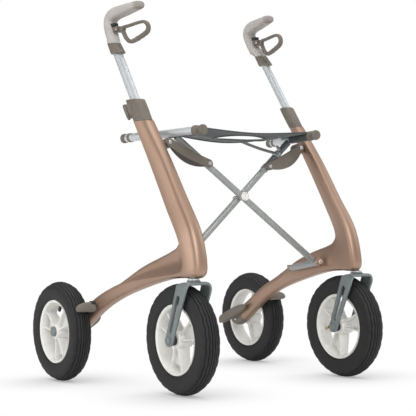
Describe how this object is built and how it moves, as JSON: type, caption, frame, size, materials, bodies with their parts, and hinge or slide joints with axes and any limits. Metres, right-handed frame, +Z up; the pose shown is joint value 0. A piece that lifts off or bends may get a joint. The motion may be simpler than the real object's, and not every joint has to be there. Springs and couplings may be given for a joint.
{
  "type": "rollator walker",
  "caption": "Folding rollator walker with moulded side frames, scissor cross, fabric seat, height-adjustable handles with brake levers, swivelling front casters and spoked wheels.",
  "frame": {"origin": "on the floor, midway between the wheels", "axes": "+Z up, -Y the way it rolls forward, +X to the left of the person pushing it"},
  "size_m": [0.663, 0.7178, 0.9414],
  "materials": {
    "copper_lacquer": "satin metallic lacquer",
    "taupe_plastic": "fine matte texture",
    "grip_plastic": "soft matte",
    "silver_anodised": "satin anodised",
    "grey_paint": "satin paint",
    "fork_paint": "satin paint",
    "rim_plastic": "moulded, low gloss",
    "tyre_rubber": "matte rubber",
    "zinc_steel": "zinc plated",
    "sling_cloth": "woven"
  },
  "bodies": {
    "right_frame": {"right_side_frame": "copper_lacquer", "right_collar": "taupe_plastic", "right_brake_pin": "zinc_steel", "right_rear_axle": "zinc_steel", "right_tip_pedal": "taupe_plastic", "right_seat_rest": "silver_anodised", "right_link_pin": "zinc_steel", "right_hinge_bracket": "copper_lacquer", "right_hinge_pin": "zinc_steel"},
    "right_cross": {"right_brace_hinge_tube": "grey_paint", "right_brace": "grey_paint", "left_seat_tube": "silver_anodised", "left_seat_front_cap": "taupe_plastic", "centre_pivot": "rim_plastic", "seat_sling": "sling_cloth"},
    "left_cross": {"left_brace_hinge_tube": "grey_paint", "left_brace": "grey_paint", "right_seat_tube": "silver_anodised", "right_seat_front_cap": "taupe_plastic"},
    "right_knob": {"right_clamp_knob": "taupe_plastic"},
    "right_handle": {"right_handle_tube": "silver_anodised", "right_grip_sleeve": "taupe_plastic", "right_grip": "grip_plastic", "right_lever_pin": "zinc_steel", "right_lever_bracket": "taupe_plastic"},
    "right_lever": {"right_brake_lever": "taupe_plastic"},
    "right_caster": {"right_fork": "fork_paint", "right_steering_stem": "fork_paint", "right_front_axle": "zinc_steel"},
    "right_front_wheel": {"right_front_rim": "rim_plastic", "right_front_tyre": "tyre_rubber"},
    "right_rear_wheel": {"right_rear_rim": "rim_plastic", "right_rear_tyre": "tyre_rubber"},
    "right_brake": {"right_brake_bar": "taupe_plastic"},
    "right_link": {"right_link_arm": "taupe_plastic"},
    "left_frame": {"left_side_frame": "copper_lacquer", "left_collar": "taupe_plastic", "left_brake_pin": "zinc_steel", "left_rear_axle": "zinc_steel", "left_tip_pedal": "taupe_plastic", "left_seat_rest": "silver_anodised", "left_link_pin": "zinc_steel", "left_hinge_bracket": "copper_lacquer", "left_hinge_pin": "zinc_steel"},
    "left_knob": {"left_clamp_knob": "taupe_plastic"},
    "left_handle": {"left_handle_tube": "silver_anodised", "left_grip_sleeve": "taupe_plastic", "left_grip": "grip_plastic", "left_lever_pin": "zinc_steel", "left_lever_bracket": "taupe_plastic"},
    "left_lever": {"left_brake_lever": "taupe_plastic"},
    "left_caster": {"left_fork": "fork_paint", "left_steering_stem": "fork_paint", "left_front_axle": "zinc_steel"},
    "left_front_wheel": {"left_front_rim": "rim_plastic", "left_front_tyre": "tyre_rubber"},
    "left_rear_wheel": {"left_rear_rim": "rim_plastic", "left_rear_tyre": "tyre_rubber"},
    "left_brake": {"left_brake_bar": "taupe_plastic"},
    "left_link": {"left_link_arm": "taupe_plastic"}
  },
  "joints": [
    {"name": "fold", "type": "hinge", "parent": "right_frame", "child": "right_cross", "pos_m": [-0.206, -0.17354, 0.285], "axis": [0, -0.9903, 0.1392], "range_deg": [0, 38], "deforming": ["seat_sling"]},
    {"name": "scissor", "type": "hinge", "parent": "right_cross", "child": "left_cross", "pos_m": [0, -0.15, 0.4525], "axis": [0, -0.9903, 0.1392], "range_deg": [-76, 0]},
    {"name": "left_hinge", "type": "hinge", "parent": "left_cross", "child": "left_frame", "pos_m": [0.206, -0.17354, 0.285], "axis": [0, -0.9903, 0.1392], "range_deg": [0, 38]},
    {"name": "right_link_swing", "type": "hinge", "parent": "right_frame", "child": "right_link", "pos_m": [-0.206, -0.14466, 0.58177], "axis": [0, -0.9903, 0.1392], "range_deg": [0, 95]},
    {"name": "right_handle_slide", "type": "slide", "parent": "right_frame", "child": "right_handle", "axis": [0.02, 0.5511, 0.8342], "range_m": [-0.12, 0.1]},
    {"name": "right_knob_turn", "type": "hinge", "parent": "right_frame", "child": "right_knob", "pos_m": [-0.234, -0.05315, 0.67284], "axis": [-0.7374, 0.5716, -0.3599], "range_deg": [0, 180]},
    {"name": "right_lever_squeeze", "type": "hinge", "parent": "right_handle", "child": "right_lever", "pos_m": [-0.219, 0.053, 0.8805], "axis": [-1, 0, 0], "range_deg": [0, 9], "stiffness_Nm_per_rad": 4},
    {"name": "right_brake_press", "type": "hinge", "parent": "right_frame", "child": "right_brake", "pos_m": [-0.2745, 0.11353, 0.19702], "axis": [1, 0, 0], "range_deg": [0, 9]},
    {"name": "right_caster_swivel", "type": "hinge", "parent": "right_frame", "child": "right_caster", "pos_m": [-0.2426, -0.285, 0.1264], "axis": [0, 0, 1], "continuous": true},
    {"name": "right_front_wheel_spin", "type": "hinge", "parent": "right_caster", "child": "right_front_wheel", "pos_m": [-0.2426, -0.2325, 0.1264], "axis": [1, 0, 0], "continuous": true},
    {"name": "right_rear_wheel_spin", "type": "hinge", "parent": "right_frame", "child": "right_rear_wheel", "pos_m": [-0.306, 0.2325, 0.1264], "axis": [1, 0, 0], "continuous": true},
    {"name": "left_link_swing", "type": "hinge", "parent": "left_frame", "child": "left_link", "pos_m": [0.206, -0.12634, 0.57919], "axis": [0, -0.9903, 0.1392], "range_deg": [-95, 0]},
    {"name": "left_handle_slide", "type": "slide", "parent": "left_frame", "child": "left_handle", "axis": [-0.02, 0.5511, 0.8342], "range_m": [-0.12, 0.1]},
    {"name": "left_knob_turn", "type": "hinge", "parent": "left_frame", "child": "left_knob", "pos_m": [0.234, -0.05315, 0.67284], "axis": [0.7374, 0.5716, -0.3599], "range_deg": [0, 180]},
    {"name": "left_lever_squeeze", "type": "hinge", "parent": "left_handle", "child": "left_lever", "pos_m": [0.219, 0.053, 0.8805], "axis": [-1, 0, 0], "range_deg": [0, 9], "stiffness_Nm_per_rad": 4},
    {"name": "left_brake_press", "type": "hinge", "parent": "left_frame", "child": "left_brake", "pos_m": [0.2745, 0.11353, 0.19702], "axis": [1, 0, 0], "range_deg": [0, 9]},
    {"name": "left_caster_swivel", "type": "hinge", "parent": "left_frame", "child": "left_caster", "pos_m": [0.2426, -0.285, 0.1264], "axis": [0, 0, 1], "continuous": true},
    {"name": "left_front_wheel_spin", "type": "hinge", "parent": "left_caster", "child": "left_front_wheel", "pos_m": [0.2426, -0.2325, 0.1264], "axis": [1, 0, 0], "continuous": true},
    {"name": "left_rear_wheel_spin", "type": "hinge", "parent": "left_frame", "child": "left_rear_wheel", "pos_m": [0.306, 0.2325, 0.1264], "axis": [1, 0, 0], "continuous": true}
  ],
  "couplings": [
    {"joint": "scissor", "follows": "fold", "ratio": -2},
    {"joint": "left_hinge", "follows": "fold", "ratio": 1},
    {"joint": "right_link_swing", "follows": "fold", "ratio": 2.5},
    {"joint": "right_brake_press", "follows": "right_lever_squeeze", "ratio": 1},
    {"joint": "left_link_swing", "follows": "fold", "ratio": -2.5},
    {"joint": "left_brake_press", "follows": "left_lever_squeeze", "ratio": 1}
  ]
}
